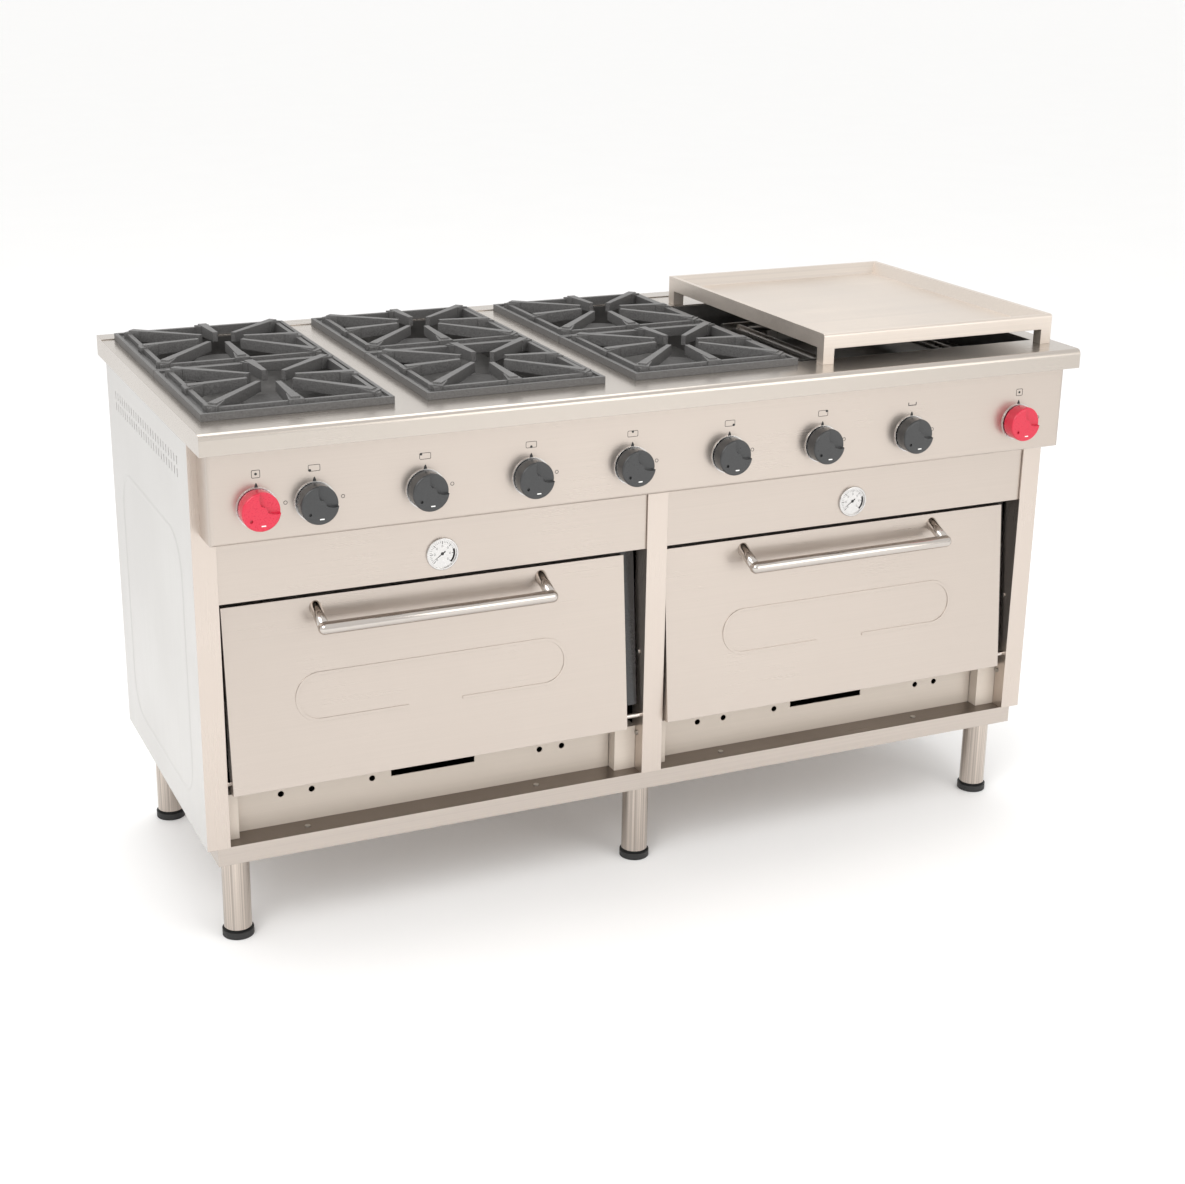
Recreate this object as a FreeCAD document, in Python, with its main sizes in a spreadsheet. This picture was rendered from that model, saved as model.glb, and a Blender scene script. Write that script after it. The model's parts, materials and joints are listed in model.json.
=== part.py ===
import FreeCAD, Part
import math
import os
import re

# Freestanding gas range: six open burners under cast grates, a lift-off griddle on four short legs,
# two ovens with bottom-hinged doors, nine control knobs and six round legs.
# Millimetres. X runs to the right, Y to the back, Z up; the origin is the middle of the footprint.

V = FreeCAD.Vector
SIZES = {
    # worktop
    "half_width": 750, "half_depth": 350, "top_height": 850, "rim_drop": 32, "top_sheet": 2,
    "nosing": 9, "trim_front": 312, "trim_sheet": 1.5,
    "cut_half": 132, "cut_front": -262, "cut_back": 284,
    "well_left": 262, "well_right": 716, "well_front": -258, "well_back": 228, "tray_low": 798,
    # carcass
    "side_out": 749, "sheet": 1.5, "post_face": 270, "post_width": 36, "carcass_low": 174,
    "carcass_back": 290, "flange_back": -230, "centre_left": -13, "centre_right": 23,
    # control panel
    "panel_half": 735.5, "panel_face": 331, "panel_low": 678.6, "panel_high": 817,
    # base tray and legs
    "tray_half": 732.5, "tray_front": -267, "tray_back": 286, "tray_bottom": 144, "tray_sheet": 2,
    "leg_side": 696, "leg_front": -222, "leg_rear": 236, "leg_radius": 22.2, "leg_wall": 1.5,
    "leg_low": 15, "foot_radius": 25, "foot_height": 15,
    # doors
    "door_width": 660, "door_height": 295, "door_deep": 18, "door_front": 22.7, "door_drop": 14.2,
    "pivot_y": -260, "pivot_z": 277, "door_tilt": 5.5, "pin_radius": 4, "pin_gap": 0.05,
    "left_door_x": -708, "right_door_x": 26,
    "handle_radius": 10, "handle_reach": 42, "handle_half": 185, "handle_down": 40,
    "ridge_half": 225, "ridge_high": 79, "ridge_down": 158, "ridge_width": 5, "ridge_proud": 1.4,
    # ovens
    "mouth_front": 5.3, "mouth_sheet": 2, "oven_low": 305, "oven_high": 552, "oven_back": 255,
    "fascia_face": 266, "fascia_low": 568, "gauge_z": 604, "gauge_radius": 26,
    # knobs and gas line
    "knob_z": 731, "knob_radius": 31.5, "knob_front": 363, "knob_back": 335, "stem_radius": 4,
    "pipe_radius": 13.5, "pipe_y": -290, "inlet_x": 690, "inlet_radius": 10.5, "inlet_end": 363,
    # grates and griddle
    "grate_wide": 290, "grate_deep": 293, "grate_front": -278, "grate_base": 850,
    "grate_rise": 13, "finger_top": 873, "finger_clear": 38,
    "griddle_left": 284, "griddle_right": 730, "griddle_front": -292, "griddle_back": 256,
    "griddle_leg": 25, "griddle_high": 900, "griddle_floor": 6, "griddle_wall": 7, "foot_square": 20,
}

doc = FreeCAD.newDocument("GasRange")
sheet = doc.addObject("Spreadsheet::Sheet", "Dims")
for row, (alias, value) in enumerate(SIZES.items(), start=1):
    sheet.set("A%d" % row, alias)
    sheet.set("B%d" % row, str(value))
    sheet.setAlias("B%d" % row, alias)
doc.recompute()
NODES = []


def size(name):
    return float(sheet.get(name))


def expr(text):
    """A formula over the sheet's names, with each name given its sheet."""
    return re.sub(r"[A-Za-z_]\w*", lambda m: "Dims." + m.group(0) if m.group(0) in SIZES else m.group(0),
                  str(text))


def bind(obj, **props):
    for prop, text in props.items():
        obj.setExpression(prop.replace("__", "."), expr(text))
    return obj


def place(obj, x=0, y=0, z=0):
    return bind(obj, Placement__Base__x=x, Placement__Base__y=y, Placement__Base__z=z)


def box(x, y, z, name="Block"):
    obj = doc.addObject("Part::Box", name)
    bind(obj, Length="(%s)-(%s)" % (x[1], x[0]), Width="(%s)-(%s)" % (y[1], y[0]),
         Height="(%s)-(%s)" % (z[1], z[0]))
    return place(obj, x[0], y[0], z[0])


def rod(axis, radius, at, low, high, name="Round"):
    """A cylinder along X, Y or Z from low to high; at gives the other two coordinates."""
    obj = doc.addObject("Part::Cylinder", name)
    bind(obj, Radius=radius, Height="(%s)-(%s)" % (high, low))
    if axis == "X":
        obj.Placement.Rotation = FreeCAD.Rotation(V(0, 1, 0), 90)
        return place(obj, low, at[0], at[1])
    if axis == "Y":
        obj.Placement.Rotation = FreeCAD.Rotation(V(1, 0, 0), -90)
        return place(obj, at[0], low, at[1])
    return place(obj, at[0], at[1], low)


def group(kind, items, name):
    if len(items) == 1:
        return items[0]
    obj = doc.addObject(kind, name)
    if kind == "Part::Compound":
        obj.Links = items
    else:
        obj.Shapes = items
    return obj


def fuse(*items):
    return group("Part::MultiFuse", list(items), "Joined")


def loose(*items):
    return group("Part::Compound", list(items), "Set")


def only(item):
    """One piece in a compound, so that it can be moved again as a whole."""
    obj = doc.addObject("Part::Compound", "Moved")
    obj.Links = [item]
    return obj


def cut(base, *tools):
    obj = doc.addObject("Part::Cut", "Trimmed")
    obj.Base = base
    obj.Tool = tools[0] if len(tools) == 1 else loose(*tools)
    return obj


def rounded(base, radius, *spots):
    """Round the edges whose middle point is nearest to each spot."""
    doc.recompute()
    obj = doc.addObject("Part::Fillet", "Rounded")
    obj.Base = base
    edges = []
    for spot in spots:
        dist = [(e.CenterOfMass - V(*spot)).Length for e in base.Shape.Edges]
        edges.append((dist.index(min(dist)) + 1, radius, radius))
    obj.Edges = edges
    return obj


def node(label, obj):
    obj.Label = label
    NODES.append((label, obj))
    return obj


def mirror_x(lo, hi, side):
    return (lo, hi) if side > 0 else ("-(%s)" % hi, "-(%s)" % lo)


# ------------------------------------------------------------------ worktop
HW, HD, TOP = size("half_width"), size("half_depth"), size("top_height")
slab = box(("-half_width", "half_width"), ("-half_depth", "half_depth"),
           ("top_height-rim_drop", "top_height"), "WorktopBlank")
slab = rounded(slab, size("nosing"), (0, -HD, TOP))
hollow = box(("top_sheet-half_width", "half_width-top_sheet"), ("top_sheet-half_depth", "half_depth-top_sheet"),
             ("top_height-rim_drop-1", "top_height-top_sheet"), "Underside")
hollow = rounded(hollow, size("nosing") - size("top_sheet"), (0, -HD + 2, TOP - 2))
COLUMNS = (-583, -241, 101)
holes = [box(("%d-cut_half" % x, "%d+cut_half" % x), ("cut_front", "cut_back"),
             ("top_height-10", "top_height+1")) for x in COLUMNS]
holes.append(box(("well_left", "well_right"), ("well_front", "well_back"), ("top_height-10", "top_height+1")))
node("worktop", cut(slab, hollow, *holes))
node("rear_trim", box(("-half_width", "half_width"), ("trim_front", "half_depth"),
                      ("top_height", "top_height+trim_sheet")))


def pan(x, y, low, high, wall, name="Pan"):
    """An open-topped sheet pan."""
    outer = box(x, y, (low, high), name)
    inner = box(("%s+%s" % (x[0], wall), "%s-%s" % (x[1], wall)),
                ("%s+%s" % (y[0], wall), "%s-%s" % (y[1], wall)), ("%s+%s" % (low, wall), "%s+1" % high))
    return outer, inner


# Spill pans hang in the cut-outs; each burner stands in a round hole of its pan.
ROWS = (-131.5, 163.5)
pans = []
for x in COLUMNS:
    outer, inner = pan(("%d-cut_half+1" % x, "%d+cut_half-1" % x), ("cut_front+1", "cut_back-1"),
                       "tray_low", "top_height-2", "1")
    pans.append(cut(outer, inner, *[rod("Z", 30, (x, y), "tray_low-1", "tray_low+2") for y in ROWS]))
outer, inner = pan(("well_left+1", "well_right-1"), ("well_front+1", "well_back-1"),
                   "tray_low", "top_height-2", "1")
node("spill_trays", loose(*pans))
node("griddle_well", cut(outer, inner))
bodies, crowns = [], []
for x in COLUMNS:
    for y in ROWS:
        low = fuse(rod("Z", 29, (x, y), "tray_low-14", "tray_low+6"), rod("Z", 44, (x, y), "tray_low+1", "tray_low+26"))
        bodies.append(cut(low, rod("Z", 36, (x, y), "tray_low+8", "tray_low+30")))
        cap = rounded(rod("Z", 46, (x, y), "tray_low+26", "tray_low+37"), 4, (x, y, size("tray_low") + 37))
        ports = [rod("X", 2, (0, 0), 30, 50) for _ in range(12)]
        for k, port in enumerate(ports):
            port.Placement = FreeCAD.Placement(V(x, y, size("tray_low") + 29), FreeCAD.Rotation(V(0, 0, 1), 30 * k),
                                               V(0, 0, 0)).multiply(FreeCAD.Placement(
                                                   V(40, 0, 0), FreeCAD.Rotation(V(0, 1, 0), 90)))
            port.setExpression("Placement.Base.x", None)
            port.setExpression("Placement.Base.y", None)
            port.setExpression("Placement.Base.z", None)
        crowns.append(cut(cap, *ports))
node("burner_bodies", loose(*bodies))
node("burner_caps", loose(*crowns))

# ------------------------------------------------------------------ carcass
PIVOT = ("pivot_y", "pivot_z")
OUT = "side_out"


def plane_of(body, role):
    return next(o for o in body.Origin.OriginFeatures if o.Role == role)


def rectangle(sketch, u, v, names):
    """A closed rectangle whose four edges sit at bound distances from the sketch's origin."""
    import Sketcher
    p = [V(u[0], v[0], 0), V(u[1], v[0], 0), V(u[1], v[1], 0), V(u[0], v[1], 0)]
    first = sketch.GeometryCount
    for i in range(4):
        sketch.addGeometry(Part.LineSegment(p[i], p[(i + 1) % 4]), False)
    for i in range(4):
        sketch.addConstraint(Sketcher.Constraint("Coincident", first + i, 2, first + (i + 1) % 4, 1))
    for i, kind in enumerate(("Horizontal", "Vertical", "Horizontal", "Vertical")):
        sketch.addConstraint(Sketcher.Constraint(kind, first + i))
    spots = (("DistanceX", 1, u[0]), ("DistanceY", 1, v[0]), ("DistanceX", 3, u[1]), ("DistanceY", 3, v[1]))
    for (kind, point, value), name in zip(spots, names):
        edge = first if point == 1 else first + 2
        index = sketch.addConstraint(Sketcher.Constraint(kind, -1, 1, edge, 1, value))
        if name:
            sketch.setExpression("Constraints[%d]" % index, expr(name))


def side_panel(label, side):
    """Folded side sheet with two rows of short upright vent slots near its top."""
    body = doc.addObject("PartDesign::Body", "SideBody")
    sketch = body.newObject("Sketcher::SketchObject", "SideOutline")
    sketch.AttachmentSupport = (plane_of(body, "YZ_Plane"), "")
    sketch.MapMode = "FlatFace"
    rectangle(sketch, (-268.5, 286), (174, 817),
              ("sheet-post_face", "carcass_low", "carcass_back-4", "top_height-rim_drop-1"))
    pad = body.newObject("PartDesign::Pad", "SideSheet")
    pad.Profile = sketch
    bind(pad, Length="sheet")
    doc.recompute()
    before = body.Shape.Volume
    slot = body.newObject("Sketcher::SketchObject", "VentSlot")
    slot.AttachmentSupport = (plane_of(body, "YZ_Plane"), "")
    slot.MapMode = "FlatFace"
    for z in (752, 771):
        rectangle(slot, (-206, -202.5), (z, z + 13), (None, None, None, None))
    pocket = body.newObject("PartDesign::Pocket", "VentPocket")
    pocket.Profile = slot
    pocket.Type = 1
    pocket.Midplane = True
    doc.recompute()
    rows = body.newObject("PartDesign::LinearPattern", "VentRows")
    rows.Originals = [pocket]
    rows.Direction = (slot, ["H_Axis"])
    rows.Length = 425
    rows.Occurrences = 26
    body.Tip = rows
    doc.recompute()
    assert body.Shape.Volume < before - 1000, "vent slots missing"
    body.Placement.Base = V(-size("side_out") if side < 0 else size("side_out") - size("sheet"), 0, 0)
    return node(label, body)


side_panel("left_side_panel", -1)
side_panel("right_side_panel", 1)
node("back_panel", cut(box(("sheet-side_out", "side_out-sheet"), ("carcass_back-4", "carcass_back-4+sheet"),
                           ("carcass_low", "top_height-rim_drop-1")),
                       rod("Y", "inlet_radius+1", ("inlet_x", "knob_z"), "200", "300")))


def post(label, x, flanges):
    face = box(x, ("-post_face", "sheet-post_face"), ("carcass_low", "top_height-rim_drop-1"))
    parts, tools = [face], []
    for lo in flanges:
        parts.append(box((lo, "%s+sheet" % lo), ("-post_face", "flange_back"), ("carcass_low", "panel_low-2")))
        tools.append(rod("X", "pin_radius+pin_gap", PIVOT, "%s-2" % lo, "%s+4" % lo))
    return node(label, cut(fuse(*parts), *tools))


post("left_post", ("-side_out", "post_width-side_out"), ["post_width-side_out-sheet"])
post("centre_post", ("centre_left", "centre_right"), ["centre_left", "centre_right-sheet"])
post("right_post", ("side_out-post_width", "side_out"), ["side_out-post_width"])

# Control panel: folded box, open at the back, with a hole for each knob stem.
KNOBS = [(-666, "red"), (646, "red")] + [(-580 + 169 * i, "black") for i in range(7)]
KNOBS.sort()
PH, PF, PL, PT = size("panel_half"), size("panel_face"), size("panel_low"), size("panel_high")
face = box(("-panel_half", "panel_half"), ("-panel_face", "-post_face"), ("panel_low", "panel_high"))
face = rounded(face, 6, (-PH, -PF, (PL + PT) / 2), (PH, -PF, (PL + PT) / 2), (0, -PF, PL))
inside = box(("sheet-panel_half", "panel_half-sheet"), ("sheet-panel_face", "1-post_face"),
             ("panel_low+sheet", "panel_high-sheet"))
inside = rounded(inside, 4.5, (1.5 - PH, 1.5 - PF, (PL + PT) / 2), (PH - 1.5, 1.5 - PF, (PL + PT) / 2),
                 (0, 1.5 - PF, PL + 1.5))
node("control_panel", cut(face, inside, *[
    rod("Y", "stem_radius+3", (x, "knob_z"), "-panel_face-1", "-panel_face+3") for x, _ in KNOBS]))

# Base tray: an upturned pan whose aprons make the rail above the legs.
tray = box(("-tray_half", "tray_half"), ("tray_front", "tray_back"), ("tray_bottom", "carcass_low"))
tray = cut(tray, box(("tray_sheet-tray_half", "tray_half-tray_sheet"),
                     ("tray_front+tray_sheet", "tray_back-tray_sheet"),
                     ("tray_bottom-1", "carcass_low-tray_sheet")))
node("base_tray", tray)
tubes, plates, inserts, feet, studs = [], [], [], [], []
for x in ("-leg_side", "0", "leg_side"):
    for y in ("leg_front", "leg_rear"):
        tubes.append(cut(rod("Z", "leg_radius", (x, y), "leg_low", "carcass_low-tray_sheet-3"),
                         rod("Z", "leg_radius-leg_wall", (x, y), "leg_low-1", "carcass_low+1")))
        plates.append(box(("%s-32" % x, "%s+32" % x), ("%s-40" % y, "%s+40" % y),
                          ("carcass_low-tray_sheet-3", "carcass_low-tray_sheet")))
        inserts.append(rod("Z", "leg_radius-leg_wall", (x, y), "leg_low", "leg_low+12"))
        feet.append(fuse(rod("Z", "foot_radius", (x, y), "0", "foot_height-4"),
                         rod("Z", "foot_radius-6", (x, y), "0", "foot_height")))
        studs.append(rod("Z", "5", (x, y), "foot_height", "foot_height+30"))
node("legs", loose(*[fuse(*pair) for pair in zip(tubes, plates)]))
node("foot_studs", loose(*[fuse(*pair) for pair in zip(inserts, studs)]))
node("feet", loose(*feet))


# ------------------------------------------------------------------ ovens
def tilted(obj):
    """Stand a piece drawn about the hinge line in its shut position, leaning back at the top."""
    obj.Placement = FreeCAD.Placement(V(0, size("pivot_y"), size("pivot_z")),
                                      FreeCAD.Rotation(V(1, 0, 0), -size("door_tilt")))
    return bind(obj, Placement__Base__y="pivot_y", Placement__Base__z="pivot_z")


OVENS = {"left": ("post_width-side_out", "centre_left", "left_door_x", -362),
         "right": ("centre_right", "side_out-post_width", "right_door_x", 371)}
screws = []
for name, (x0, x1, xd, xg) in OVENS.items():
    # fascia with a stiffening fold along its lower edge
    plate = fuse(box((x0 + "+0.5", x1 + "-0.5"), ("-fascia_face", "sheet-fascia_face"), ("fascia_low", "panel_low")),
                 box((x0 + "+0.5", x1 + "-0.5"), ("-fascia_face", "12-fascia_face"),
                     ("fascia_low", "fascia_low+sheet")))
    node("fascia_" + name, cut(plate, rod("Y", "gauge_radius-3", (xg, "gauge_z"), "-fascia_face-1",
                                          "-fascia_face+4")))
    bezel = rounded(rod("Y", "gauge_radius", (xg, "gauge_z"), "-fascia_face-4", "-fascia_face"), 1.5,
                    (xg, -size("fascia_face") - 4, size("gauge_z")))
    bezel = cut(bezel, rod("Y", "gauge_radius-3", (xg, "gauge_z"), "-fascia_face-5", "-fascia_face-1.5"))
    node("thermometer_" + name, fuse(bezel, rod("Y", "gauge_radius-4", (xg, "gauge_z"), "-fascia_face-1",
                                                "-fascia_face+24"),
                                     rod("Y", "3", (xg, "gauge_z"), "-fascia_face+20", "-fascia_face+45")))
    # mouth frame, parallel to the shut door, and the cavity behind it
    frame = cut(box((x0 + "+4", x1 + "-4"), ("mouth_front", "mouth_front+mouth_sheet"), ("17", "283")),
                box((xd + "+18", xd + "+door_width-18"), ("mouth_front-1", "mouth_front+9"), ("33", "265")))
    tilted(frame)
    cx = (xd + "+17", xd + "+door_width-17")
    shell = cut(box(cx, ("-280", "oven_back"), ("oven_low", "oven_high")),
                box(("%s+sheet" % cx[0], "%s-sheet" % cx[1]), ("-290", "oven_back-sheet"),
                    ("oven_low+sheet", "oven_high-sheet")))
    front = tilted(only(box((x0 + "-20", x1 + "+20"), ("-200", "mouth_front+mouth_sheet"), ("-80", "400"))))
    supports = [box((x, "%s+8" % x), ("-200", "oven_back-20"), ("420", "423"))
                for x in ("%s+sheet" % cx[0], "%s-sheet-8" % cx[1])]
    node("oven_liner_" + name, fuse(cut(shell, front), frame, *supports))
    rails = [rod("X", "2.5", (y, "426"), "%s+4" % cx[0], "%s-4" % cx[1]) for y in (-195, 230)]
    wires = [rod("Y", "2", ("%s+%d" % (cx[0], 14 + 45.9 * k), "426"), "-195", "230") for k in range(14)]
    node("oven_rack_" + name, fuse(*(rails + wires)))
    burner = [rod("Y", "11", ("%s+%d" % (cx[0], k), "286"), "-190", "200") for k in (150, 476)]
    burner.append(rod("X", "11", ("190", "286"), "%s+150" % cx[0], "%s+476" % cx[0]))
    node("oven_burner_" + name, fuse(*burner))
    # front panel under the oven, with a lighting slot and round holes, and the hinge spring boxes
    panel = box((x0 + "+22", x1 + "-39"), ("-221", "-219.5"), ("carcass_low", "292"))
    slot = box((xd + "+272", xd + "+415"), ("-230", "-210"), ("224", "236"))
    dots = [rod("Y", "5", ("%s+%d" % (xd, k), "226"), "-230", "-210") for k in (90, 140, 240, 530, 570)]
    boxes = [cut(panel, slot, *dots)]
    for lo, hi in ((x0 + "+0.3", x0 + "+21"), (x1 + "-38", x1 + "-0.3")):
        outer = box((lo, hi), ("-243", "-205"), ("carcass_low", "250"))
        boxes.append(cut(outer, box(("%s+sheet" % lo, "%s-sheet" % hi), ("-241.5", "-200"),
                                    ("carcass_low-1", "248.5"))))
    node("lower_panel_" + name, loose(*boxes))

    # ---- door, drawn about its hinge line: outer pan, inner liner, handle and pins
    xe = xd + "+door_width"
    z0, z1 = "-door_drop", "door_height-door_drop"
    skin = box((xd, xe), ("-door_front", "door_deep-door_front"), (z0, z1))
    back = box((xd + "+sheet", xe + "-sheet"), ("sheet-door_front", "door_deep-door_front+1"),
               (z0 + "+sheet", z1 + "-sheet"))
    zr = "door_height-door_drop-ridge_down"
    xm = "%s+door_width/2" % xd

    def stadium(half, high, y0, y1):
        run = "(%s)-(%s)/2" % (half, high)
        mid = box(("%s-(%s)" % (xm, run), "%s+(%s)" % (xm, run)), (y0, y1),
                  ("%s-(%s)/2" % (zr, high), "%s+(%s)/2" % (zr, high)))
        ends = [rod("Y", "(%s)/2" % high, ("%s%s(%s)" % (xm, sign, run), zr), y0, y1) for sign in "+-"]
        return fuse(mid, *ends)

    ridge = cut(stadium("ridge_half", "ridge_high", "-door_front-ridge_proud", "-door_front+0.5"),
                stadium("ridge_half-ridge_width", "ridge_high-2*ridge_width", "-door_front-2", "-door_front+2"),
                box((xm + "-45", xm + "+45"), ("-door_front-2", "-door_front+2"), (zr + "-60", zr + "-10")))
    skin = cut(skin, back, rod("X", "pin_radius", (0, 0), xd + "-1", xd + "+5"),
               rod("X", "pin_radius", (0, 0), xe + "-5", xe + "+1"))
    tilted(node("door_%s_skin" % name, fuse(skin, ridge)))
    liner = cut(box((xd + "+10", xe + "-10"), ("sheet-door_front", "3.3"), ("10", z1 + "-10")),
                box((xd + "+11", xe + "-11"), ("-door_front", "2.3"), ("11", z1 + "-11")))
    tilted(node("door_%s_liner" % name, liner))
    yh, zh = "-door_front-handle_reach", z1 + "-handle_down"
    bar = [rod("X", "handle_radius", (yh, zh), xm + "-handle_half", xm + "+handle_half")]
    for sign in "+-":
        bar.append(rod("Y", "handle_radius", ("%s%shandle_half" % (xm, sign), zh), yh, "-door_front"))
        ball = doc.addObject("Part::Sphere", "Corner")
        bind(ball, Radius="handle_radius")
        bar.append(place(ball, "%s%shandle_half" % (xm, sign), yh, zh))
    tilted(node("door_%s_handle" % name, fuse(*bar)))
    near = (x0 + "-6", xd + "+18")
    pins = loose(rod("X", "pin_radius", (0, 0), *near), rod("X", "pin_radius", (0, 0), xe + "-18", x1 + "+6"))
    tilted(node("door_%s_pins" % name, pins))
    for z in (240, 385):
        screws.append(rod("X", "4", ("-248", z), "%s-2" % x1, x1))
    for k in (125, 515):
        screws.append(rod("Z", "4.5", ("%s+%d" % (xd, k), "-243"), "carcass_low", "carcass_low+1.5"))
node("screw_heads", loose(*screws))

# ------------------------------------------------------------------ gas line and knobs
node("gas_manifold", cut(rod("X", "pipe_radius", ("pipe_y", "knob_z"), "-705", "712"),
                         rod("X", "pipe_radius-3", ("pipe_y", "knob_z"), "-700", "707")))
node("gas_inlet", fuse(rod("Y", "inlet_radius-1", ("inlet_x", "knob_z"), "pipe_y+pipe_radius", "302"),
                       rod("Y", "inlet_radius+5", ("inlet_x", "knob_z"), "carcass_back-4+sheet", "303"),
                       rod("Y", "inlet_radius", ("inlet_x", "knob_z"), "300", "inlet_end")))
node("gas_valves", loose(*[fuse(rod("Y", "11", (x, "knob_z"), "-327", "pipe_y-pipe_radius"),
                               rod("Y", "stem_radius", (x, "knob_z"), "-350", "-320")) for x, _ in KNOBS]))
node("knob_bezels", loose(*[cut(rod("Y", "knob_radius+2.5", (x, "knob_z"), "-panel_face-2", "-panel_face"),
                                rod("Y", "stem_radius+3", (x, "knob_z"), "-panel_face-3", "-panel_face+1"))
                            for x, _ in KNOBS]))


def knob(label, x):
    """Round knob with a bevelled face, a deep scoop over its upper right and a small sight hole."""
    body = rounded(rod("Y", "knob_radius", (x, "knob_z"), "-knob_front", "-knob_back"), 3.5,
                   (x, -size("knob_front"), size("knob_z")))
    bore = rod("Y", "stem_radius+pin_gap", (x, "knob_z"), "-350.5", "-knob_back+1")
    scoop = rod("Y", "27", (x + 24, "knob_z+22"), "-knob_front-1", "-knob_front+8")
    keep = rod("Y", "10", (x, "knob_z-1"), "-knob_front-1", "-knob_front+9")
    hole = rod("Y", "2.6", (x - 17, "knob_z-13"), "-knob_front-1", "-knob_front+4")
    return node(label, cut(body, bore, cut(scoop, keep), hole))


for count, (x, colour) in enumerate(KNOBS, start=1):
    knob("knob_%d_%s" % (count, colour), x)

# ------------------------------------------------------------------ cast grates
HALF, DEEP = "grate_wide/2", "grate_deep/2"


def grate(label, cx, cy):
    """Cast frame with a doubled rib and eight tapered fingers that leave the middle open."""
    base, rise = "grate_base", "grate_base+grate_rise"

    def ring(x, y, width, low, high):
        outer = box(("%s-(%s)" % (cx, x), "%s+(%s)" % (cx, x)), ("%s-(%s)" % (cy, y), "%s+(%s)" % (cy, y)),
                    (low, high))
        inner = box(("%s-(%s)+%s" % (cx, x, width), "%s+(%s)-%s" % (cx, x, width)),
                    ("%s-(%s)+%s" % (cy, y, width), "%s+(%s)-%s" % (cy, y, width)), ("%s-1" % low, "%s+1" % high))
        return cut(outer, inner)

    parts = [ring(HALF, DEEP, "22", base, base + "+7"), ring(HALF, DEEP, "6", base, base + "+11"),
             ring(HALF + "-15", DEEP + "-15", "7", base, rise + "+2")]
    for k in range(8):
        reach = 128 if k % 2 == 0 else 172
        finger = doc.addObject("Part::Wedge", "Finger")
        finger.Xmin, finger.Ymin, finger.Zmin, finger.X2min, finger.Z2min = -7, 0, 18, -4, 24
        finger.Xmax, finger.Zmax, finger.X2max, finger.Z2max = 7, 37, 4, 40
        bind(finger, Ymax="%d-finger_clear" % reach)
        turn = FreeCAD.Rotation(V(0, 0, 1), 45 * k)
        start = turn.multVec(V(0, -reach, 0))
        finger.Placement = FreeCAD.Placement(V(cx + start.x, cy + start.y, 0), turn)
        bind(finger, Placement__Base__z="finger_top-40")
        pad = doc.addObject("Part::Wedge", "Lug")
        pad.Xmin, pad.Ymin, pad.Zmin, pad.X2min, pad.Z2min = -12, -6, 0, -8, 0
        pad.Xmax, pad.Ymax, pad.Zmax, pad.X2max, pad.Z2max = 12, 22, 16, 8, 19
        pad.Placement = FreeCAD.Placement(V(cx + start.x, cy + start.y, 0), turn)
        bind(pad, Placement__Base__z="grate_base+1")
        parts += [finger, pad]
    return node(label, fuse(*parts))


number = 0
for cx in COLUMNS:
    for cy in ROWS:
        number += 1
        grate("grate_%d_%s" % (number, "front" if cy < 0 else "back"), cx, cy)

# ------------------------------------------------------------------ griddle
low, high = "top_height+griddle_leg", "griddle_high"
outer = box(("griddle_left", "griddle_right"), ("griddle_front", "griddle_back"), (low, high))
GX, GY = (size("griddle_left") + size("griddle_right")) / 2, size("griddle_front")
outer = rounded(outer, 5, (GX, GY, size("griddle_high")))
dish = doc.addObject("Part::Wedge", "Dish")
# the dish is wider at the top, so its walls slope down to the plate
GW = size("griddle_right") - size("griddle_left") - 2 * size("griddle_wall")
GD = size("griddle_back") - size("griddle_front") - 2 * size("griddle_wall")
dish.Xmin, dish.Xmax, dish.Zmin, dish.Zmax = 12, GW - 12, 12, GD - 12
dish.Ymin, dish.Ymax = 0, 20
dish.X2min, dish.X2max, dish.Z2min, dish.Z2max = 0, GW, 0, GD
dish.Placement.Rotation = FreeCAD.Rotation(V(1, 0, 0), 90)
place(dish, "griddle_left+griddle_wall", "griddle_back-griddle_wall", "top_height+griddle_leg+griddle_floor")
plate = cut(outer, dish)
legs = []
for x in ("griddle_left", "griddle_right-foot_square"):
    for y in ("griddle_front", "griddle_back-foot_square"):
        legs.append(box((x, x + "+foot_square"), (y, y + "+foot_square"), ("top_height", low)))
node("griddle_plate", fuse(plate, *legs))
pipes = [rod("X", "10", ("-190", "tray_low+24"), "330", "640"), rod("X", "10", ("130", "tray_low+24"), "330", "640")]
pipes += [rod("Y", "8", (x, "tray_low+24"), "-190", "130") for x in (360, 610)]
pipes += [box((x, "%d+20" % x), (y, "%s+12" % y), ("tray_low+1", "tray_low+22"))
          for x in (420, 540) for y in ("-196", "124")]
pipes.append(rod("X", "13", ("-190", "tray_low+24"), "306", "334"))
node("griddle_burner", fuse(*pipes))

# ------------------------------------------------------------------ check and write
doc.recompute()
for obj in doc.Objects:
    bad = [flag for flag in obj.State if flag in ("Invalid", "Error")]
    assert not bad, "%s: %s" % (obj.Label, obj.State)
for label, obj in NODES:
    assert not obj.Shape.isNull() and obj.Shape.isValid(), label
os.makedirs("parts", exist_ok=True)
for label, obj in NODES:
    obj.Shape.exportStep("parts/%s.step" % label)
box_all = Part.makeCompound([obj.Shape for _, obj in NODES]).BoundBox
print(len(NODES), "nodes", box_all)
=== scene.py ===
import json
import math

import bmesh
import bpy
from mathutils import Matrix, Vector


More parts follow.
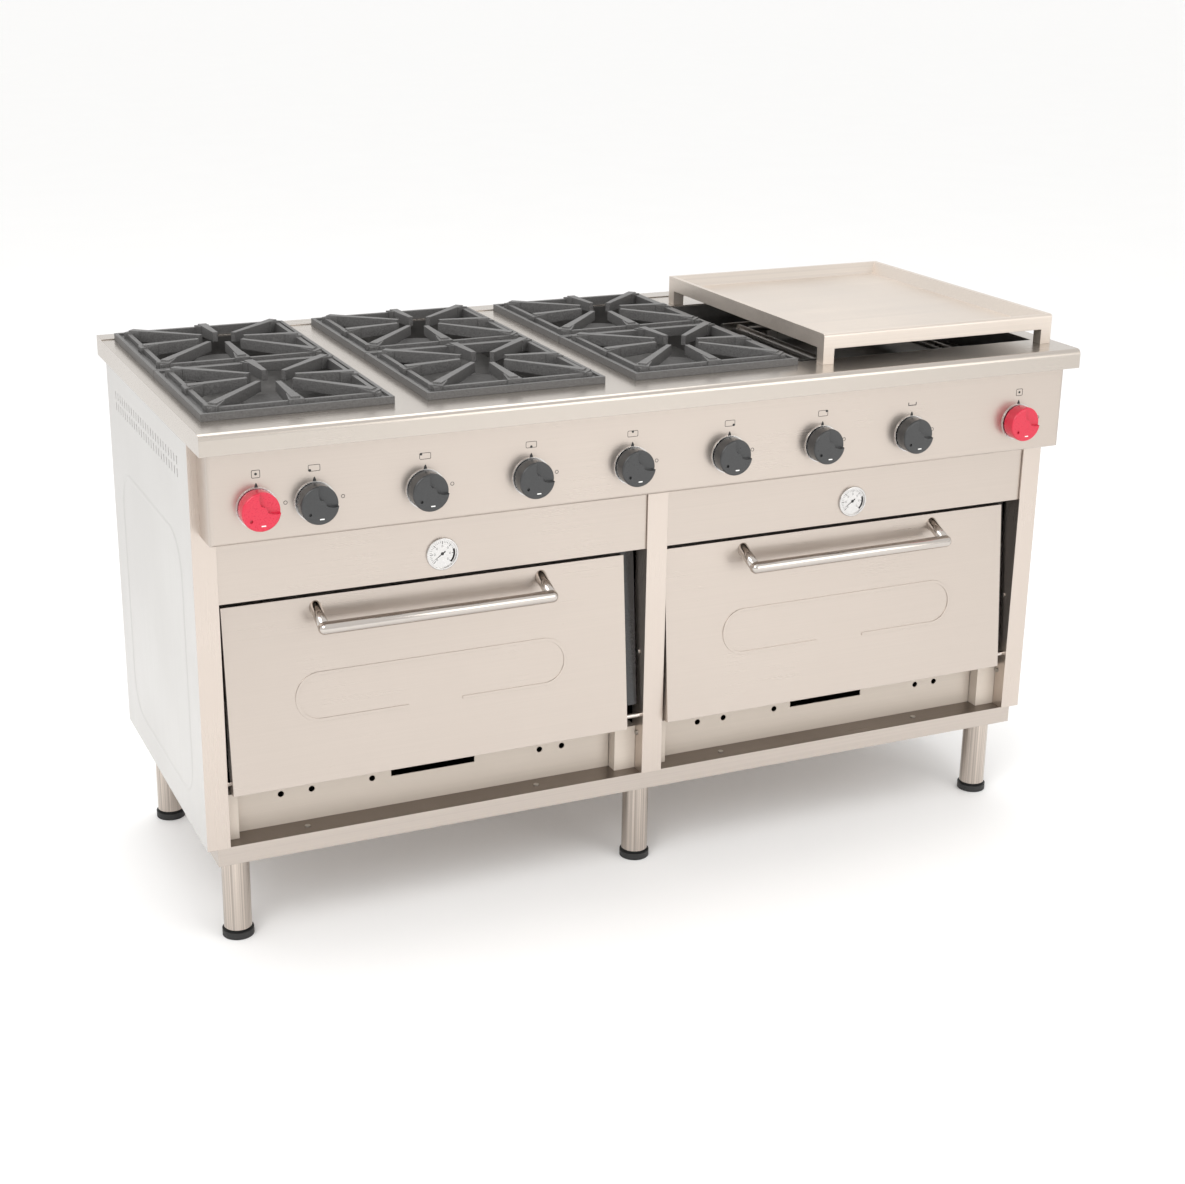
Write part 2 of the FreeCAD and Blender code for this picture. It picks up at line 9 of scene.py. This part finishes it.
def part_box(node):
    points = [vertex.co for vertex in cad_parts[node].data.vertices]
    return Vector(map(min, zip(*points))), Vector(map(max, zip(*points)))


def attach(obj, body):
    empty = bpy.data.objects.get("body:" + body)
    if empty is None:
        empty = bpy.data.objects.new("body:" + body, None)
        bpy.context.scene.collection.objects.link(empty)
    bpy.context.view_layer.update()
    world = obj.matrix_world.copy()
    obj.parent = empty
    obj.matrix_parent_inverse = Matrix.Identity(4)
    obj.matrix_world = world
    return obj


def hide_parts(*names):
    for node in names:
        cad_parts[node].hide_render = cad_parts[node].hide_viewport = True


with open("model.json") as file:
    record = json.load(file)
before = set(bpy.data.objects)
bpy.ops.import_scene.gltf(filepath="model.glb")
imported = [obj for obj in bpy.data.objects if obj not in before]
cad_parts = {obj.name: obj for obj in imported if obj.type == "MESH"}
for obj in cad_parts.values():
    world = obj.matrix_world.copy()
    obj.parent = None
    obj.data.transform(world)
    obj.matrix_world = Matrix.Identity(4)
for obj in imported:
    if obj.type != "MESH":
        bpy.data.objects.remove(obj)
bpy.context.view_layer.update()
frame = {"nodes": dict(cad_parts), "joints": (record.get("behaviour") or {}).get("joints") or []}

# ------------------------------------------------------------------ materials
def material(name, colour, rough, metallic=1.0, stretch=(1, 1, 1), scale=40, grain=0.12, tint=0.06,
             bump=0.02, blotch=0.08, edge=0.0007, coat=0.0):
    """Procedural finish: fine grain drawn out by stretch, broad blotches, softened edges."""
    mat = bpy.data.materials.new(name)
    mat.use_nodes = True
    tree = mat.node_tree
    nodes, link = tree.nodes, tree.links.new
    shader = nodes["Principled BSDF"]
    shader.inputs["Metallic"].default_value = metallic
    if coat:
        shader.inputs["Coat Weight"].default_value = coat
        shader.inputs["Coat Roughness"].default_value = 0.15
    coord = nodes.new("ShaderNodeTexCoord")
    mapping = nodes.new("ShaderNodeMapping")
    mapping.inputs["Scale"].default_value = stretch
    link(coord.outputs["Object"], mapping.inputs["Vector"])
    fine = nodes.new("ShaderNodeTexNoise")
    fine.inputs["Scale"].default_value = scale
    fine.inputs["Detail"].default_value = 5
    link(mapping.outputs["Vector"], fine.inputs["Vector"])
    broad = nodes.new("ShaderNodeTexNoise")
    broad.inputs["Scale"].default_value = 5
    broad.inputs["Detail"].default_value = 4
    link(coord.outputs["Object"], broad.inputs["Vector"])
    ramp = nodes.new("ShaderNodeMapRange")
    ramp.inputs["From Min"].default_value = 0.3
    ramp.inputs["From Max"].default_value = 0.7
    ramp.inputs["To Min"].default_value = max(0.03, rough - grain / 2)
    ramp.inputs["To Max"].default_value = min(1.0, rough + grain / 2)
    link(fine.outputs["Fac"], ramp.inputs["Value"])
    smear = nodes.new("ShaderNodeMapRange")
    smear.inputs["From Min"].default_value = 0.35
    smear.inputs["From Max"].default_value = 0.65
    smear.inputs["To Min"].default_value = -blotch / 2
    smear.inputs["To Max"].default_value = blotch / 2
    link(broad.outputs["Fac"], smear.inputs["Value"])
    total = nodes.new("ShaderNodeMath")
    total.operation = "ADD"
    link(ramp.outputs["Result"], total.inputs[0])
    link(smear.outputs["Result"], total.inputs[1])
    link(total.outputs["Value"], shader.inputs["Roughness"])
    shades = nodes.new("ShaderNodeValToRGB")
    shades.color_ramp.elements[0].position = 0.3
    shades.color_ramp.elements[1].position = 0.72
    shades.color_ramp.elements[0].color = [c * (1 - tint) for c in colour] + [1]
    shades.color_ramp.elements[1].color = [min(1, c * (1 + tint)) for c in colour] + [1]
    link(fine.outputs["Fac"], shades.inputs["Fac"])
    link(shades.outputs["Color"], shader.inputs["Base Color"])
    relief = nodes.new("ShaderNodeBump")
    relief.inputs["Strength"].default_value = bump
    relief.inputs["Distance"].default_value = 0.002
    link(fine.outputs["Fac"], relief.inputs["Height"])
    if edge:
        soft = nodes.new("ShaderNodeBevel")
        soft.samples = 4
        soft.inputs["Radius"].default_value = edge
        link(soft.outputs["Normal"], relief.inputs["Normal"])
    link(relief.outputs["Normal"], shader.inputs["Normal"])
    return mat


ALONG_X, ALONG_Z = (0.02, 6, 6), (6, 6, 0.02)
steel = material("steel_front", (0.525, 0.466, 0.419), rough=0.31, metallic=0.92, stretch=ALONG_X,
                 scale=150, grain=0.05, tint=0.02, bump=0.006, blotch=0.05)
steel_top = material("steel_top", (0.52, 0.475, 0.43), rough=0.24, metallic=0.9, stretch=ALONG_X,
                     scale=150, grain=0.05, tint=0.015, bump=0.006, blotch=0.05)
steel_side = material("steel_side", (0.60, 0.588, 0.572), rough=0.42, metallic=0.75, stretch=ALONG_Z,
                      scale=60, grain=0.10, tint=0.02)
steel_post = material("steel_post", (0.592, 0.524, 0.471), rough=0.30, metallic=0.92, stretch=ALONG_Z,
                      scale=150, grain=0.05, tint=0.02, bump=0.006, blotch=0.05)
rail = material("tray_steel", (0.52, 0.465, 0.42), rough=0.36, metallic=0.9, stretch=ALONG_X, scale=60,
                grain=0.14, tint=0.05, bump=0.04)
cream = material("panel_cream", (0.62, 0.55, 0.48), rough=0.45, metallic=0.25, stretch=ALONG_X,
                 scale=60, grain=0.10, tint=0.02)
cast = material("grate_cast_iron", (0.125, 0.122, 0.120), rough=0.52, metallic=0.25, scale=420,
                grain=0.25, tint=0.25, bump=0.28, blotch=0.12, edge=0.0014)
cast_dark = material("burner_cast_iron", (0.05, 0.048, 0.046), rough=0.6, metallic=0.3, scale=380,
                     grain=0.25, tint=0.25, bump=0.3, blotch=0.12)
plate = material("griddle_ground", (0.65, 0.585, 0.525), rough=0.42, metallic=0.85, stretch=ALONG_X,
                 scale=60, grain=0.14, tint=0.05, bump=0.05, blotch=0.12)
pan = material("pan_steel", (0.16, 0.155, 0.15), rough=0.45, metallic=0.8, scale=60, grain=0.15,
               tint=0.10, bump=0.04)
# the legs' strong lengthwise colour streaks (tint 0.30) are partly the steel's own tone and partly painted
# reflection
tube = material("leg_polished", (0.52, 0.46, 0.41), rough=0.15, stretch=ALONG_Z, scale=60, grain=0.22,
                tint=0.30, bump=0.05)
chrome = material("handle_chrome", (0.54, 0.50, 0.465), rough=0.13, stretch=ALONG_X, scale=90,
                  grain=0.08, tint=0.04)
wire = material("rack_chrome", (0.66, 0.66, 0.66), rough=0.18, scale=200, grain=0.08, tint=0.05,
                bump=0.03)
enamel = material("black_enamel", (0.016, 0.016, 0.018), rough=0.22, metallic=0.0, scale=260,
                  grain=0.10, tint=0.3, bump=0.05, coat=0.4)
pipe = material("pipe_steel", (0.42, 0.40, 0.38), rough=0.35, metallic=0.95, scale=160, grain=0.16,
                tint=0.10, bump=0.05)
brass = material("turned_brass", (0.62, 0.42, 0.16), rough=0.28, scale=160, tint=0.08, bump=0.04)
rubber = material("foot_black", (0.018, 0.018, 0.018), rough=0.6, metallic=0.0, scale=300, grain=0.15,
                  tint=0.15, bump=0.10)
black = material("knob_black", (0.030, 0.031, 0.032), rough=0.34, metallic=0.0, scale=500, grain=0.10,
                 tint=0.12, bump=0.05, blotch=0.05, edge=0.0009, coat=0.2)
red = material("knob_red", (0.58, 0.010, 0.042), rough=0.30, metallic=0.0, scale=500, grain=0.10,
               bump=0.05, blotch=0.05, edge=0.0009, coat=0.3)
bezel = material("bezel_satin", (0.62, 0.61, 0.60), rough=0.28, scale=220, grain=0.10, tint=0.05,
                 bump=0.03)
screw = material("screw_plated", (0.42, 0.40, 0.37), rough=0.35, scale=200, tint=0.10, bump=0.05)
ink = material("panel_ink", (0.022, 0.022, 0.022), rough=0.5, metallic=0.0, scale=900, grain=0.10,
               tint=0.25, blotch=0.05, edge=0.0)
white = material("dial_white", (0.80, 0.80, 0.78), rough=0.45, metallic=0.0, scale=600, grain=0.10,
                 tint=0.02, blotch=0.05, edge=0.0)
red_ink = material("dial_red", (0.62, 0.03, 0.03), rough=0.5, metallic=0.0, scale=600, grain=0.10,
                   tint=0.08, blotch=0.05, edge=0.0)


def paint_shade_on_level_faces(mat, factor, level_above=0.7):
    """Multiplies the colour of the faces that look up by factor, as painted shade."""
    tree = mat.node_tree
    nodes, link = tree.nodes, tree.links.new
    normal = nodes.new("ShaderNodeNewGeometry")
    upward = nodes.new("ShaderNodeSeparateXYZ")
    link(normal.outputs["True Normal"], upward.inputs[0])
    level = nodes.new("ShaderNodeMath")
    level.operation = "GREATER_THAN"
    level.inputs[1].default_value = level_above
    link(upward.outputs["Z"], level.inputs[0])
    shade = nodes.new("ShaderNodeMix")
    shade.data_type, shade.blend_type = "RGBA", "MULTIPLY"
    colour_in = nodes["Principled BSDF"].inputs["Base Color"]
    link(level.outputs[0], shade.inputs[0])
    link(colour_in.links[0].from_socket, shade.inputs[6])
    shade.inputs[7].default_value = factor
    link(shade.outputs[2], colour_in)


# painted shade: the tray's floor, whose faces look up, is darkened below its polished front rail to stand
# for the dark reflections and shade on it
paint_shade_on_level_faces(rail, (0.42, 0.40, 0.38, 1))

RULES = [("knob_bezels", bezel), ("gas_valves", brass), ("gas_", pipe), ("feet", rubber),
         ("foot_studs", pipe), ("legs", tube), ("base_tray", rail), ("lower_panel", cream),
         ("grate_", cast), ("griddle_plate", plate), ("griddle_well", pan), ("spill_trays", pan),
         ("burner_", cast_dark), ("griddle_burner", pipe), ("oven_liner", enamel), ("oven_rack", wire),
         ("oven_burner", pipe), ("thermometer", bezel), ("screw_heads", screw), ("worktop", steel_top),
         ("rear_trim", steel_top), ("left_side_panel", steel_side), ("right_side_panel", steel_side),
         ("back_panel", steel_side), ("left_post", steel_post), ("centre_post", steel_post),
         ("right_post", steel_post), ("control_panel", steel), ("fascia", steel)]
for name, obj in frame["nodes"].items():
    if name.startswith("door_"):
        finish = {"skin": steel, "liner": enamel, "handle": chrome, "pins": chrome}[name.split("_")[-1]]
    elif name.startswith("knob_") and name != "knob_bezels":
        finish = red if name.endswith("red") else black
    else:
        finish = next(m for key, m in RULES if name.startswith(key))
    for slot in obj.material_slots:
        slot.material = finish


# ------------------------------------------------------------------ added pieces
def piece(name, bm, mat, body, smooth=False):
    """Makes an object of the bmesh, which rides a body and fills a material slot."""
    mesh = bpy.data.meshes.new(name)
    bmesh.ops.recalc_face_normals(bm, faces=bm.faces)
    bm.to_mesh(mesh)
    bm.free()
    for face in mesh.polygons:
        face.use_smooth = smooth
    mesh.materials.append(mat)
    obj = bpy.data.objects.new(name, mesh)
    bpy.context.scene.collection.objects.link(obj)
    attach(obj, body)
    return obj


def plate_xz(bm, points, y, thick):
    """A flat plate standing in the XZ plane: its front at y, its back thick behind."""
    front = [bm.verts.new((x, y, z)) for x, z in points]
    back = [bm.verts.new((x, y + thick, z)) for x, z in points]
    bm.faces.new(front)
    bm.faces.new(back[::-1])
    for i in range(len(points)):
        j = (i + 1) % len(points)
        bm.faces.new((front[i], front[j], back[j], back[i]))


def circle(cx, cz, r, count=28):
    return [(cx + r * math.cos(math.tau * i / count), cz + r * math.sin(math.tau * i / count))
            for i in range(count)]


def rounded_box(cx, cz, w, h, r, steps=5):
    """Points of an upright box w wide and h high, with corners of radius r."""
    points = []
    for sx, sz, a in ((1, 1, 0), (-1, 1, 90), (-1, -1, 180), (1, -1, 270)):
        for i in range(steps + 1):
            t = math.radians(a + 90 * i / steps)
            points.append((cx + sx * (w / 2 - r) + r * math.cos(t), cz + sz * (h / 2 - r) + r * math.sin(t)))
    return points


def outline(bm, outer, inner, y, thick):
    """A closed band between two outlines with the same number of points."""
    n = len(outer)
    rings = [[bm.verts.new((x, yy, z)) for x, z in line]
             for line in (outer, inner) for yy in (y, y + thick)]
    outer_front, outer_back, inner_front, inner_back = rings
    for i in range(n):
        j = (i + 1) % n
        bm.faces.new((outer_front[i], outer_front[j], inner_front[j], inner_front[i]))
        bm.faces.new((outer_back[i], inner_back[i], inner_back[j], outer_back[j]))
        bm.faces.new((outer_front[i], outer_back[i], outer_back[j], outer_front[j]))
        bm.faces.new((inner_front[i], inner_front[j], inner_back[j], inner_back[i]))


MM = 0.001
PRINT = 0.4 * MM                      # thickness of the printed signs
DROP_HALF, DROP_TALL, DROP_UP = 3.2 * MM, 4.6 * MM, 32.5 * MM
SIGN_UP = 50 * MM
BEZEL_RADIUS, BEZEL_BORE = 30.5 * MM, 8 * MM
CAP_WIDTH, CAP_DEPTH = 0.91, 0.80     # visible knob cap, as shares of its CAD solid
panel_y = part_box("control_panel")[0][1] - 0.2 * MM     # the signs stand this little bit proud


def middle(name):
    """The middle of a node as seen from the front."""
    low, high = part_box(name)
    return (low[0] + high[0]) / 2, (low[2] + high[2]) / 2


knobs = sorted(n for n in frame["nodes"] if n.startswith("knob_") and n != "knob_bezels")
# what each knob serves: the oven, the griddle, or a burner by its dot's place inside the hob sign
SIGNS = ["oven", (-1, -1), (-1, 1), (0, -1), (0, 1), (1, -1), (1, 1), "griddle", "oven"]
for index, (name, sign) in enumerate(zip(knobs, SIGNS)):
    cx, cz = middle(name)
    bm = bmesh.new()
    # a flame drop, above it the sign, and the off ring to the right
    turns = [math.tau * k / 24 for k in range(24)]
    drop = [(cx + DROP_HALF * math.sin(t) * (0.25 + 0.75 * math.sin(t / 2) ** 1.5),
             cz + DROP_UP + DROP_TALL * math.cos(t)) for t in turns]
    plate_xz(bm, drop, panel_y, PRINT)
    zs = cz + SIGN_UP
    if sign == "oven":
        outline(bm, rounded_box(cx, zs, 13 * MM, 12 * MM, 2 * MM),
                rounded_box(cx, zs, 11.4 * MM, 10.4 * MM, 1.4 * MM), panel_y, PRINT)
        plate_xz(bm, circle(cx, zs, 2 * MM, 16), panel_y, PRINT)
    elif sign == "griddle":
        for dx, dz, w, h in ((0, -2.5, 15, 1.3), (-7.2, 0, 1.3, 5), (7.2, 0, 1.3, 5)):
            plate_xz(bm, rounded_box(cx + dx * MM, zs + dz * MM, w * MM, h * MM, 0.4 * MM, 2),
                     panel_y, PRINT)
    else:
        outline(bm, rounded_box(cx, zs, 18 * MM, 10 * MM, 2 * MM),
                rounded_box(cx, zs, 16.6 * MM, 8.6 * MM, 1.5 * MM), panel_y, PRINT)
        plate_xz(bm, circle(cx + sign[0] * 6.5 * MM, zs + sign[1] * 3.2 * MM, 2 * MM, 16), panel_y, PRINT)
    outline(bm, circle(cx + 42 * MM, cz + 3 * MM, 3 * MM, 20),
            circle(cx + 42 * MM, cz + 3 * MM, 2.2 * MM, 20), panel_y, PRINT)
    piece("panel_mark_%d" % (index + 1), bm, ink, "range")
    bm = bmesh.new()
    low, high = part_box(name)
    cap_front = high[1] - CAP_DEPTH * (high[1] - low[1])
    plate_xz(bm, rounded_box(cx + 2 * MM, cz - 20 * MM, 7 * MM, 1.8 * MM, 0.8 * MM, 3),
             cap_front - 0.1 * MM, 1 * MM)
    piece("knob_pointer_%d" % (index + 1), bm, white, name)

# visible knobs: the moulded cap is a little smaller than the solid that stands for it
for index, name in enumerate(knobs):
    cx, cz = middle(name)
    back_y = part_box(name)[1][1]
    mesh = frame["nodes"][name].data.copy()
    for v in mesh.vertices:
        v.co.x = cx + (v.co.x - cx) * CAP_WIDTH
        v.co.y = back_y + (v.co.y - back_y) * CAP_DEPTH
        v.co.z = cz + (v.co.z - cz) * CAP_WIDTH
    cap = bpy.data.objects.new("knob_cap_%d" % (index + 1), mesh)
    bpy.context.scene.collection.objects.link(cap)
    mesh.materials.clear()
    mesh.materials.append(red if name.endswith("red") else black)
    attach(cap, name)
    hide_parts(name)
bm = bmesh.new()
for name in knobs:
    cx, cz = middle(name)
    outline(bm, circle(cx, cz, BEZEL_RADIUS, 48), circle(cx, cz, BEZEL_BORE, 48), panel_y - 1.8 * MM, 2 * MM)
rings = piece("bezel_rings", bm, bezel, "range")
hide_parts("knob_bezels")

# door handles: a round bar on two slanted end brackets that meet the door higher up
DOOR_LEAN = math.radians(5.5)
TILT = Matrix.Rotation(-DOOR_LEAN, 4, "X")
HINGE = next(j for j in frame["joints"] if j["name"] == "door_left_hinge")
PIVOT = Vector((0, HINGE["pos_m"][1], HINGE["pos_m"][2]))
BAR_HALF, BAR_R = 0.185, 0.010
BAR_Y, BAR_Z = -0.0647, 0.2408        # the bar's middle line, from the hinge of an upright door
DOOR_Y, BRACKET_RISE = -0.0227, 0.022
BRACKET_R, FOOT_R = 0.0090, 0.0104
ACROSS, INWARD = Vector((1, 0, 0)), Vector((0, 1, 0))


def ring_of(bm, centre, along, r, squash=1.0, count=28):
    """A ring of vertices round a line, leaning with the door."""
    along = along.normalized()
    u = ACROSS if abs(along.x) < 0.9 else INWARD
    v = along.cross(u).normalized()
    u = v.cross(along).normalized()
    return [bm.verts.new(PIVOT + TILT @ (centre + u * r * math.cos(math.tau * k / count)
                                         + v * r * squash * math.sin(math.tau * k / count)))
            for k in range(count)]


def skin_over(bm, rings):
    """A closed skin over a row of rings."""
    for a, b in zip(rings, rings[1:]):
        for k in range(len(a)):
            bm.faces.new((a[k], a[(k + 1) % len(a)], b[(k + 1) % len(a)], b[k]))
    bm.faces.new(rings[0])
    bm.faces.new(rings[-1][::-1])


for side in ("left", "right"):
    xm = middle("door_%s_handle" % side)[0]
    bm = bmesh.new()
    quarter = [math.pi / 2 * k / 6 for k in range(1, 7)]
    domed_end = [(-BAR_HALF - BAR_R * math.cos(t), BAR_R * math.sin(t)) for t in quarter]
    bar = domed_end + [(-x, r) for x, r in reversed(domed_end)]
    skin_over(bm, [ring_of(bm, Vector((xm + x, BAR_Y, BAR_Z)), ACROSS, r) for x, r in bar])
    for sign in (-1, 1):
        start = Vector((xm + sign * BAR_HALF, BAR_Y, BAR_Z))
        end = Vector((xm + sign * BAR_HALF, DOOR_Y, BAR_Z + BRACKET_RISE))
        run = end - start
        skin_over(bm, [ring_of(bm, start, run, BRACKET_R),
                       ring_of(bm, start + run * 0.7, run, BRACKET_R),
                       ring_of(bm, end - INWARD * 1.2 * MM, INWARD, FOOT_R - 0.6 * MM, 1.15),
                       ring_of(bm, end + INWARD * 0.4 * MM, INWARD, FOOT_R, 1.15)])
    grip = piece("handle_bar_" + side, bm, chrome, "door_" + side, True)
    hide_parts("door_%s_handle" % side)

# painted shade: a thin sheet in the black enamel material, just inside each side panel behind the vent
# slots, stands for the dark inside seen through them
SHADE_X, SHADE_THICK = 0.7464, 0.0008
SHADE_Y, SHADE_LONG = 0.010, 0.452
SHADE_Z, SHADE_TALL = 0.768, 0.044
for sign, name in ((-1, "left"), (1, "right")):
    bm = bmesh.new()
    bmesh.ops.create_cube(bm, size=1)
    for v in bm.verts:
        v.co = Vector((sign * SHADE_X + v.co.x * SHADE_THICK, SHADE_Y + v.co.y * SHADE_LONG,
                       SHADE_Z + v.co.z * SHADE_TALL))
    bmesh.ops.bevel(bm, geom=bm.edges[:], offset=0.0002, segments=1)
    piece("vent_painted_shade_" + name, bm, enamel, "range")

# thermometer dials: white face, black ticks, blank marks and needle, red zone
FACE_DEEP = 2.6 * MM                  # the face lies this far behind the bezel's front
FACE_R, TICK_OUT, TICK_IN, TICK_IN_LONG, MARK_R = 22.6 * MM, 20.5 * MM, 17.5 * MM, 15.5 * MM, 12.5 * MM
DIAL_START, DIAL_SWEEP, NEEDLE_AT = 225, 270, math.radians(215)
NEEDLE_TIP, NEEDLE_TAIL, NEEDLE_HALF, HUB_R = 17 * MM, -6 * MM, 1 * MM, 2.4 * MM
ZONE_OUT, ZONE_IN, ZONE_START, ZONE_SWEEP = 20.8 * MM, 17.8 * MM, 20, 65
FILM = 0.2 * MM                       # thickness of the dial's print


def spoke(bm, cx, cz, a, corners, y):
    """A thin plate whose corners are given as distances along and across the direction a."""
    dx, dz = math.cos(a), math.sin(a)
    plate_xz(bm, [(cx + r * dx - e * dz, cz + r * dz + e * dx) for r, e in corners], y, FILM)


for side in ("left", "right"):
    cx, cz = middle("thermometer_" + side)
    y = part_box("thermometer_" + side)[0][1] + FACE_DEEP
    bm = bmesh.new()
    plate_xz(bm, circle(cx, cz, FACE_R, 48), y, 0.6 * MM)
    piece("dial_face_" + side, bm, white, "range")
    bm = bmesh.new()
    for k in range(31):
        start, w = (TICK_IN_LONG, 0.45 * MM) if k % 5 == 0 else (TICK_IN, 0.22 * MM)
        spoke(bm, cx, cz, math.radians(DIAL_START - DIAL_SWEEP * k / 30),
              ((start, w), (TICK_OUT, w), (TICK_OUT, -w), (start, -w)), y - FILM)
    for k in range(7):
        a = math.radians(DIAL_START - DIAL_SWEEP * k / 6)
        mx, mz = cx + MARK_R * math.cos(a), cz + MARK_R * math.sin(a)
        outline(bm, rounded_box(mx, mz, 2.4 * MM, 3.2 * MM, 1 * MM, 3),
                rounded_box(mx, mz, 1.6 * MM, 2.4 * MM, 0.6 * MM, 3), y - FILM, FILM)
    needle = ((NEEDLE_TAIL, NEEDLE_HALF), (NEEDLE_TIP, 0), (NEEDLE_TAIL, -NEEDLE_HALF))
    spoke(bm, cx, cz, NEEDLE_AT, needle, y - 0.5 * MM)
    plate_xz(bm, circle(cx, cz, HUB_R, 20), y - 0.7 * MM, 0.4 * MM)
    piece("dial_print_" + side, bm, ink, "range")
    bm = bmesh.new()
    arc = [math.radians(ZONE_START - ZONE_SWEEP * i / 12) for i in range(13)]
    edge = [(ZONE_OUT, t) for t in arc] + [(ZONE_IN, t) for t in reversed(arc)]
    plate_xz(bm, [(cx + r * math.cos(t), cz + r * math.sin(t)) for r, t in edge], y - FILM / 2, FILM / 2)
    piece("dial_zone_" + side, bm, red_ink, "range")

# shallow pressed outline on each side panel: a low ridge that follows a rounded box
RIDGE_Z, RIDGE_LONG, RIDGE_TALL, RIDGE_CORNER = 0.440, 0.400, 0.420, 0.060
RIDGE = ((0, 0), (4 * MM, 0.9 * MM), (8 * MM, 0))       # outward from the box, and how far it stands
for name, facing in (("left_side_panel", -1), ("right_side_panel", 1)):
    low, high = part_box(name)
    x, yc = (low if facing < 0 else high)[0], (low[1] + high[1]) / 2
    bm = bmesh.new()
    lines = []
    for grow, rise in RIDGE:
        corners = rounded_box(yc, RIDGE_Z, RIDGE_LONG + 2 * grow, RIDGE_TALL + 2 * grow,
                              RIDGE_CORNER + grow, 10)
        lines.append([bm.verts.new((x + facing * (rise + 0.05 * MM), y, z)) for y, z in corners])
    for a, b in zip(lines, lines[1:]):
        for i in range(len(a)):
            j = (i + 1) % len(a)
            bm.faces.new((a[i], a[j], b[j], b[i]))
    piece("pressed_line_" + name.split("_")[0], bm, steel_side, "range", True)

# ------------------------------------------------------------------ floor, light and camera
floor_mat = material("studio_floor", (0.97, 0.97, 0.97), rough=0.6, metallic=0.0, scale=3, grain=0.05,
                     tint=0.005, bump=0.0, blotch=0.02, edge=0.0)
bm = bmesh.new()
bmesh.ops.create_grid(bm, x_segments=1, y_segments=1, size=60)
mesh = bpy.data.meshes.new("studio_floor")
bm.to_mesh(mesh)
bm.free()
floor = bpy.data.objects.new("studio_floor", mesh)
floor.location.z = -0.0005
mesh.materials.append(floor_mat)
bpy.context.scene.collection.objects.link(floor)

world = bpy.data.worlds.new("studio")
bpy.context.scene.world = world
world.use_nodes = True
back = world.node_tree.nodes["Background"]
back.inputs["Color"].default_value = (1.0, 0.995, 0.985, 1)
back.inputs["Strength"].default_value = 1.0


def area(name, at, aim, size, power, colour=(1, 1, 1)):
    """A square soft light at one point, turned to another."""
    data = bpy.data.lights.new(name, "AREA")
    data.energy, data.size, data.color = power, size, colour
    lamp = bpy.data.objects.new(name, data)
    lamp.location = at
    lamp.rotation_euler = (Vector(aim) - Vector(at)).to_track_quat("-Z", "Y").to_euler()
    bpy.context.scene.collection.objects.link(lamp)


area("key", (-2.6, -2.6, 3.4), (0, 0, 0.6), 2.4, 75)
area("front_fill", (1.8, -3.6, 1.6), (0, 0, 0.4), 2.2, 28, (1, 0.97, 0.94))
area("top", (0.2, 0.8, 3.6), (0, 0, 0.8), 2.6, 40)

camera = bpy.data.objects.new("camera", bpy.data.cameras.new("camera"))
camera.data.sensor_width = 36
camera.data.lens = 59.316
camera.data.shift_x, camera.data.shift_y = 0.0274, -0.027
camera.location = (-1.3535, -2.9306, 1.5527)
turn, dip, roll = math.radians(24.055), math.radians(18.645), math.radians(0.558)
aim = Vector((math.sin(turn) * math.cos(dip), math.cos(turn) * math.cos(dip), -math.sin(dip)))
across = aim.cross(Vector((0, 0, 1))).normalized()
upright = across.cross(aim)
right = across * math.cos(roll) + upright * math.sin(roll)
camera.rotation_euler = Matrix((right, (-aim).cross(right), -aim)).transposed().to_euler()
bpy.context.scene.collection.objects.link(camera)
bpy.context.scene.camera = camera

bpy.context.scene.view_settings.view_transform = "Standard"
